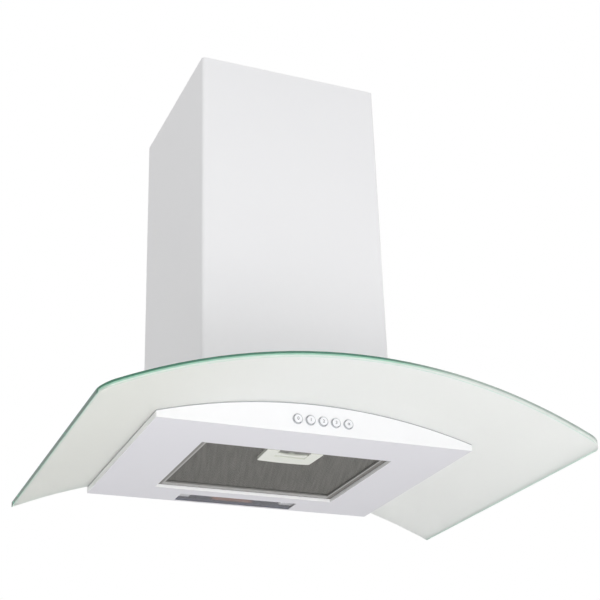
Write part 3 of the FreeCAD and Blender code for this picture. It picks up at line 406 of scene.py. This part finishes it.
# painted reflection: the edge turns grey towards the right
reflection_greyed = across.ramp(edge_reflection_from, edge_reflection_to)
pale_edge = frosted.mix(reflection_greyed, pale_green, pale_grey)
mint_edge = frosted.mix(reflection_greyed, mint_green, mint_grey)
dark_edge = frosted.mix(at_side, frosted.mix(reflection_greyed, dark_green, dark_grey), side_green)
lower_edge = frosted.mix(edge_height.ramp(mint_from, mint_to), pale_edge, mint_edge)
polished = frosted.mix(edge_height.ramp(dark_from, dark_to), lower_edge, dark_edge)
frosted.colour(frosted.mix(edge, glowing_face, polished))
frost = frost_roughness + frosted.noise(frost_grain) * frost_spread
frosted.roughness(frost - edge * polish_gain)
frosted.feed(frosted.shader.inputs["Coat Weight"], (1.0 - edge) * face_coat)
dress(frosted, "glass_canopy")

grey_seal = Finish("grey_seal", Roughness=0.6)
grey_seal.tones(cloud=90.0, dark=(150, 151, 155), light=(166, 167, 171))
dress(grey_seal, "perimeter_seal")

rubber = Finish("black_rubber", Roughness=0.75)
rubber.tones(cloud=120.0, dark=(26, 26, 27), light=(40, 40, 41))
rubber.bump(rubber.noise(1500.0), depth=0.0001)
dress(rubber, "gasket_below_glass", "gasket_above_glass", "glass_bushes")


# ------------------------------------------------------------- push buttons
# Five moulded buttons in bright pressed rings. Each face carries a plain mark
# in ink: off, three fan speeds and the lamp, which is a small disc with rays.
# The parts of a mark are given as shares of its height.
mark_height = 0.0038
mark_lift = 0.00004
mark_words = ("0", "1", "2", "3")
lamp_button = 5
letter_share = 1.45
disc_share = 0.24
disc_sides = 20
ray_count = 8
ray_place, ray_length, ray_width = 0.45, 0.22, 0.07

silver = Finish("button_silver", Coat_Weight=0.6, Coat_Roughness=0.05)
silver.tones(cloud=300.0, dark=(226, 226, 229), light=(236, 236, 239))
silver.gloss(base=0.28, spread=0.1, grain=900.0)
dress(silver, *["button_%d" % number for number in range(1, lamp_button + 1)])

ring_metal = Finish("bright_ring", Metallic=1.0)
ring_metal.tones(cloud=500.0, dark=(186, 187, 192), light=(212, 213, 218))
ring_metal.gloss(base=0.16, spread=0.08, grain=1400.0)
dress(ring_metal, "button_bezels")

ink = Finish("printed_ink", Roughness=0.5)
ink.tones(cloud=800.0, dark=(52, 54, 60), light=(70, 72, 80))


def finished_piece(name, mesh, body, finish):
    """link a mesh as a piece that rides on a body"""
    piece = bpy.data.objects.new(name, mesh)
    bpy.context.scene.collection.objects.link(piece)
    mesh.materials.append(finish.material)
    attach(piece, body)
    return piece


def print_mark(name, mesh, number):
    """a mark in ink that moves with its button"""
    finished_piece(name, mesh, "button_body_%d" % number, ink)


def button_face(number):
    """middle of a button's front"""
    low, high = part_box("button_%d" % number)
    return Vector(((low.x + high.x) / 2, low.y, (low.z + high.z) / 2))


for number, word in enumerate(mark_words, start=1):
    letters = bpy.data.curves.new("mark_%d" % number, "FONT")
    letters.body = word
    letters.size = mark_height * letter_share
    letters.extrude = mark_lift
    letters.align_x = "CENTER"
    letters.align_y = "CENTER"
    holder = bpy.data.objects.new("mark_text_%d" % number, letters)
    bpy.context.scene.collection.objects.link(holder)
    mark_mesh = bpy.data.meshes.new_from_object(holder)
    bpy.data.objects.remove(holder)
    upright_turn = Matrix.Rotation(math.radians(90), 4, "X")
    mark_mesh.transform(Matrix.Translation(button_face(number)) @ upright_turn)
    mark_mesh.name = "mark_%d" % number
    print_mark("mark_%d" % number, mark_mesh, number)

lamp_mark = bmesh.new()
bmesh.ops.create_circle(lamp_mark, cap_ends=True, segments=disc_sides, radius=mark_height * disc_share)
for ray in range(ray_count):
    grid = bmesh.ops.create_grid(lamp_mark, x_segments=1, y_segments=1, size=mark_height / 2)
    strip = grid["verts"]
    around = Matrix.Rotation(ray * math.tau / ray_count, 3, "Z")
    bmesh.ops.scale(lamp_mark, verts=strip, vec=(ray_length, ray_width, 1))
    bmesh.ops.translate(lamp_mark, verts=strip, vec=(mark_height * ray_place, 0, 0))
    bmesh.ops.rotate(lamp_mark, verts=strip, cent=(0, 0, 0), matrix=around)
bmesh.ops.solidify(lamp_mark, geom=lamp_mark.faces[:], thickness=mark_lift)
bmesh.ops.rotate(lamp_mark, verts=lamp_mark.verts, cent=(0, 0, 0),
                 matrix=Matrix.Rotation(math.pi / 2, 3, "X"))
bmesh.ops.translate(lamp_mark, verts=lamp_mark.verts,
                    vec=button_face(lamp_button) - Vector((0, mark_lift, 0)))
bmesh.ops.recalc_face_normals(lamp_mark, faces=lamp_mark.faces)
lamp_mark_mesh = bpy.data.meshes.new("mark_lamp")
lamp_mark.to_mesh(lamp_mark_mesh)
lamp_mark.free()
print_mark("mark_lamp", lamp_mark_mesh, lamp_button)

moulded_black = Finish("moulded_black", Specular_IOR_Level=0.4)
moulded_black.tones(cloud=80.0, dark=(30, 30, 32), light=(44, 44, 47))
moulded_black.gloss(base=0.45, spread=0.15, grain=500.0)
moulded_black.bump(moulded_black.noise(1800.0), depth=0.00008, strength=0.6)
dress(moulded_black, "switch_block", "cable_gland")


# ----------------------------------------------------------- grease filter
# An aluminium frame with rolled rails holds layers of expanded metal. The
# outer layer is a lattice of slit and stretched diamonds; the next one lies
# across it. A pale plastic catch with a finger recess sits at the front rail.
opening_low, opening_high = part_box("filter_mesh_outer")
catch_low, catch_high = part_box("catch_housing")
frame_low, frame_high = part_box("filter_frame")
pin_reach = 0.003
rail_from, rail_to = 0.0078, 0.0088
rim_from, rim_to = 0.0006, 0.0016
side_rim_share = 0.6
# painted shadow: the rails are dark along their rims, in the gaps round the frame
gap_shadow_dark = srgb(64, 63, 62)
rail_dark, rail_bright = srgb(156, 155, 153), srgb(182, 181, 179)
# painted shade: the side rails are darker and browner than the front and rear rails
side_dark, side_bright = srgb(116, 113, 109), srgb(136, 133, 129)
rail_grain = 40.0
rail_stretch = (1.0, 12.0, 12.0)
rail_roughness = 0.34
rail_spread = 0.18

frame_metal = Finish("filter_rail_metal", Metallic=0.8)
drawn = frame_metal.noise(rail_grain, detail=3.0, vector=frame_metal.stretched(*rail_stretch))
rail_tone = frame_metal.mix(drawn, rail_dark, rail_bright)
shaded_side_tone = frame_metal.mix(drawn, side_dark, side_bright)
to_end = frame_high.x - pin_reach - frame_metal.axis("X").size()
from_front = frame_metal.axis("Y") - frame_low.y
from_rear = frame_high.y - frame_metal.axis("Y")
# painted shadow along the rims and painted shade on the side rails
inside_rim = (to_end * side_rim_share).smaller(from_front.smaller(from_rear)).ramp(rim_from, rim_to)
metal_tone = frame_metal.mix(to_end.ramp(rail_from, rail_to), shaded_side_tone, rail_tone)
frame_metal.colour(frame_metal.mix(inside_rim, gap_shadow_dark, metal_tone))
frame_metal.roughness(rail_roughness + drawn * rail_spread)
dress(frame_metal, "filter_frame")

streak_scale = 30.0
streak_turn = 0.29
streak_stretch = (10.0, 0.45, 1.0)
depth_scale = 700.0
depth_stretch = (1.0, 0.4, 1.0)
depth_share = 0.6


def streaks(finish):
    """fine scratches that run a little askew from front to rear"""
    along = finish.stretched(*streak_stretch, streak_turn)
    return finish.noise(streak_scale, detail=3.0, vector=along, roughness=0.6)


mesh_metal = Finish("expanded_metal", Metallic=0.85)
mesh_metal.colour(mesh_metal.mix(streaks(mesh_metal).ramp(low=0.2, high=0.8),
                                 srgb(118, 117, 114), srgb(136, 135, 131)))
mesh_metal.gloss(base=0.38, spread=0.2, grain=800.0)

# painted shade: the core and inner layers are painted darker than the outer layers, for the shade deep
# inside the filter
mesh_core = Finish("filter_depth_shaded", Metallic=0.5, Roughness=0.6)
strands = mesh_core.noise(depth_scale, detail=3.0, vector=mesh_core.stretched(*depth_stretch))
scratched = strands * depth_share + streaks(mesh_core) * (1 - depth_share)
mesh_core.colour(mesh_core.mix(scratched.ramp(low=0.35, high=0.65),
                               srgb(68, 67, 65), srgb(112, 111, 107)))
mesh_core.bump(strands, depth=0.0006)
dress(mesh_core, "filter_mesh_core", "filter_mesh_inner")

strand = 0.00055
diamond_long, diamond_short = 0.0062, 0.0034
outer_depth, second_depth = strand, 2.4 * strand
spare_cells = 2.2


def expanded_layer(name, depth, sides):
    """lattice of diamonds trimmed to the filter's window, with a hole for the catch"""
    sheet = bmesh.new()
    cells = int(spare_cells * (opening_high.x - opening_low.x) / diamond_short)
    bmesh.ops.create_grid(sheet, x_segments=cells, y_segments=cells, size=cells / 2)
    bmesh.ops.rotate(sheet, verts=sheet.verts, cent=(0, 0, 0),
                     matrix=Matrix.Rotation(math.pi / 4, 3, "Z"))
    bmesh.ops.scale(sheet, verts=sheet.verts,
                    vec=(sides[0] / math.sqrt(2), sides[1] / math.sqrt(2), 1))
    middle = (opening_low + opening_high) / 2
    bmesh.ops.translate(sheet, verts=sheet.verts, vec=(middle.x, middle.y, opening_low.z + depth))
    for corner, way in ((opening_low, -1), (opening_high, 1)):
        for direction in (Vector((way, 0, 0)), Vector((0, way, 0))):
            bmesh.ops.bisect_plane(sheet, geom=sheet.verts[:] + sheet.edges[:] + sheet.faces[:],
                                   plane_co=corner, plane_no=direction, clear_outer=True)
    under_catch = [
        f for f in sheet.faces
        if catch_low.x < f.calc_center_median().x < catch_high.x
        and catch_low.y < f.calc_center_median().y < catch_high.y
    ]
    bmesh.ops.delete(sheet, geom=under_catch, context="FACES")
    bmesh.ops.wireframe(sheet, faces=sheet.faces[:], thickness=strand, use_replace=True,
                        use_boundary=True, use_even_offset=True)
    bmesh.ops.recalc_face_normals(sheet, faces=sheet.faces)
    mesh = bpy.data.meshes.new(name)
    sheet.to_mesh(mesh)
    sheet.free()
    layer = finished_piece(name, mesh, "filter", mesh_metal)
    return layer


outer_layer = expanded_layer("expanded_layer_outer", outer_depth, (diamond_long, diamond_short))
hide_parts("filter_mesh_outer")
expanded_layer("expanded_layer_second", second_depth, (diamond_short, diamond_long))

recess_side, recess_side_end = 0.0200, 0.0212
recess_rear, recess_rear_end = 0.0122, 0.0128
recess_shallow, recess_deep = 0.0010, 0.0030
recess_front, recess_front_end = 0.0024, 0.0028
recess_dark = srgb(92, 91, 90)
recess_strength = 0.8

catch_plastic = Finish("catch_plastic", Coat_Weight=0.3, Coat_Roughness=0.1)
catch_tone = catch_plastic.mix(catch_plastic.noise(60.0), srgb(226, 228, 219), srgb(233, 235, 226))
into_catch = catch_plastic.axis("Y") - catch_low.y
between_sides = 1.0 - catch_plastic.axis("X").size().ramp(recess_side, recess_side_end)
before_rear = 1.0 - into_catch.ramp(recess_rear, recess_rear_end)
deep_part = (catch_plastic.axis("Z") - catch_low.z).ramp(recess_shallow, recess_deep)
front_part = 1.0 - into_catch.ramp(recess_front, recess_front_end)
recess_shade = between_sides * before_rear * deep_part.larger(front_part)
catch_plastic.colour(catch_plastic.mix(recess_shade * recess_strength, catch_tone, recess_dark))
catch_plastic.gloss(base=0.32, spread=0.08, grain=700.0)
dress(catch_plastic, "catch_housing", "catch_slider")


# --------------------------------------------------------------------- lamp
# A clear cover in the slot behind the filter; above it a blue-grey tin with two
# candle bulbs in ivory holders. The tin is painted darker navy the deeper it
# lies, painted shade, and warm orange above the bulbs, a painted reflection.
housing_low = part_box("lamp_housing")[0]
shade_from, shade_to = 0.002, 0.006
reflection_side, reflection_side_end = 0.022, 0.034
reflection_from, reflection_to = 0.0045, 0.0075
tin_unshaded, tin_shaded = srgb(112, 117, 138), srgb(22, 26, 52)
tin_warm_reflection, tin_dust = srgb(206, 144, 104), srgb(120, 124, 140)
dust_cloud = 35.0
dust_share = 0.2

clear_cover = Finish("lamp_cover", Transmission_Weight=1.0, IOR=1.15)
clear_cover.tones(cloud=40.0, dark=(222, 224, 234), light=(232, 234, 242))
clear_cover.gloss(base=0.02, spread=0.04, grain=300.0)
dress(clear_cover, "lamp_lens")

tin = Finish("lamp_tin", Metallic=0.3)
tin_height = tin.axis("Z") - housing_low.z
# painted shade: the tin darkens to navy the deeper it lies in its housing
shaded_tin = tin.mix(tin_height.ramp(shade_from, shade_to), tin_unshaded, tin_shaded)
at_bulbs = 1.0 - tin.axis("X").size().ramp(reflection_side, reflection_side_end)
# painted reflection: a warm orange band over the bulbs
reflected_tin = tin.mix(at_bulbs * tin_height.ramp(reflection_from, reflection_to), shaded_tin, tin_warm_reflection)
tin.colour(tin.mix(tin.noise(dust_cloud) * dust_share, reflected_tin, tin_dust))
tin.gloss(base=0.34, spread=0.1, grain=200.0)
dress(tin, "lamp_housing")

bulb_glass = Finish("bulb_glass", Coat_Weight=0.6, Coat_Roughness=0.05)
bulb_glass.tones(cloud=50.0, dark=(222, 150, 96), light=(236, 172, 120))
bulb_glass.gloss(base=0.3, spread=0.05, grain=200.0)
dress(bulb_glass, "lamp_bulbs")

ivory = Finish("ivory_plastic")
ivory.tones(cloud=60.0, dark=(222, 218, 204), light=(232, 228, 216))
ivory.gloss(base=0.4, spread=0.1, grain=500.0)
dress(ivory, "lamp_holders", "terminal_block")


# ---------------------------------------------------- carcass and fan scroll
# Galvanised sheet, spot welded: the carcass that hangs on the wall, the air
# chamber, the brackets and the scroll. The zinc shows its spangle. Bolts,
# nuts, screws and the fan's shaft are zinc-plated steel.
spangle_scale = 160.0
spangle_share = 0.7
zinc_cloud = 12.0
zinc_roughness = 0.34
flake_spread = 0.16

zinc = Finish("galvanised_sheet", Metallic=0.9)
crystal = zinc.add("ShaderNodeTexVoronoi", {"feature": "F1"},
                   {"Vector": zinc.place, "Scale": spangle_scale})
spangle = zinc.add("ShaderNodeSeparateColor", None, {0: crystal.outputs["Color"]})
flake = Value(zinc, spangle.outputs[0])
zinc_pattern = flake * spangle_share + zinc.noise(zinc_cloud) * (1 - spangle_share)
zinc.colour(zinc.mix(zinc_pattern, srgb(168, 171, 174), srgb(198, 200, 203)))
zinc.roughness(zinc_roughness + flake * flake_spread)
dress(zinc, "carcass_shell", "carcass_lid", "air_chamber", "upper_bracket", "chimney_foot_left",
      "chimney_foot_right", "scroll_wrap", "scroll_side_left", "scroll_side_right",
      "motor_bracket", "collar_plate")

plated = Finish("zinc_plated_steel", Metallic=1.0)
plated.tones(cloud=200.0, dark=(170, 170, 166), light=(196, 195, 190))
plated.gloss(base=0.28, spread=0.14, grain=900.0)
dress(plated, "glass_bolts", "glass_nuts", "motor_screws", "collar_screws", "impeller_nut",
      "motor_shaft")


# ---------------------------------------------------- fan, motor and collar
# The drum impeller, the duct collar and its two flaps are black mouldings;
# the motor's grey case shows the fine lines of its stacked steel laminations.
lamination_waves = 5200.0
dress(moulded_black, "impeller", "outlet_collar", "damper_flap_front", "damper_flap_rear")

motor_case = Finish("motor_case", Metallic=0.4)
laminations = (motor_case.axis("X") * lamination_waves).sine() * 0.5 + 0.5
motor_case.colour(motor_case.mix(laminations, srgb(92, 93, 96), srgb(118, 119, 122)))
motor_case.gloss(base=0.42, spread=0.12, grain=300.0)
dress(motor_case, "motor")


# ------------------------------------------------------------- electric box
# A grey moulded box with its lid, where the cable ends. It holds the white
# capacitor of the fan beside the terminals.
box_plastic = Finish("grey_plastic")
box_plastic.tones(cloud=50.0, dark=(138, 140, 144), light=(150, 152, 156))
box_plastic.gloss(base=0.48, spread=0.1, grain=600.0)
box_plastic.bump(box_plastic.noise(1600.0), depth=0.00008)
dress(box_plastic, "control_box", "control_box_lid")

can = Finish("capacitor_can")
can.tones(cloud=70.0, dark=(222, 222, 218), light=(234, 234, 230))
can.gloss(base=0.38, spread=0.08, grain=400.0)
dress(can, "capacitor")
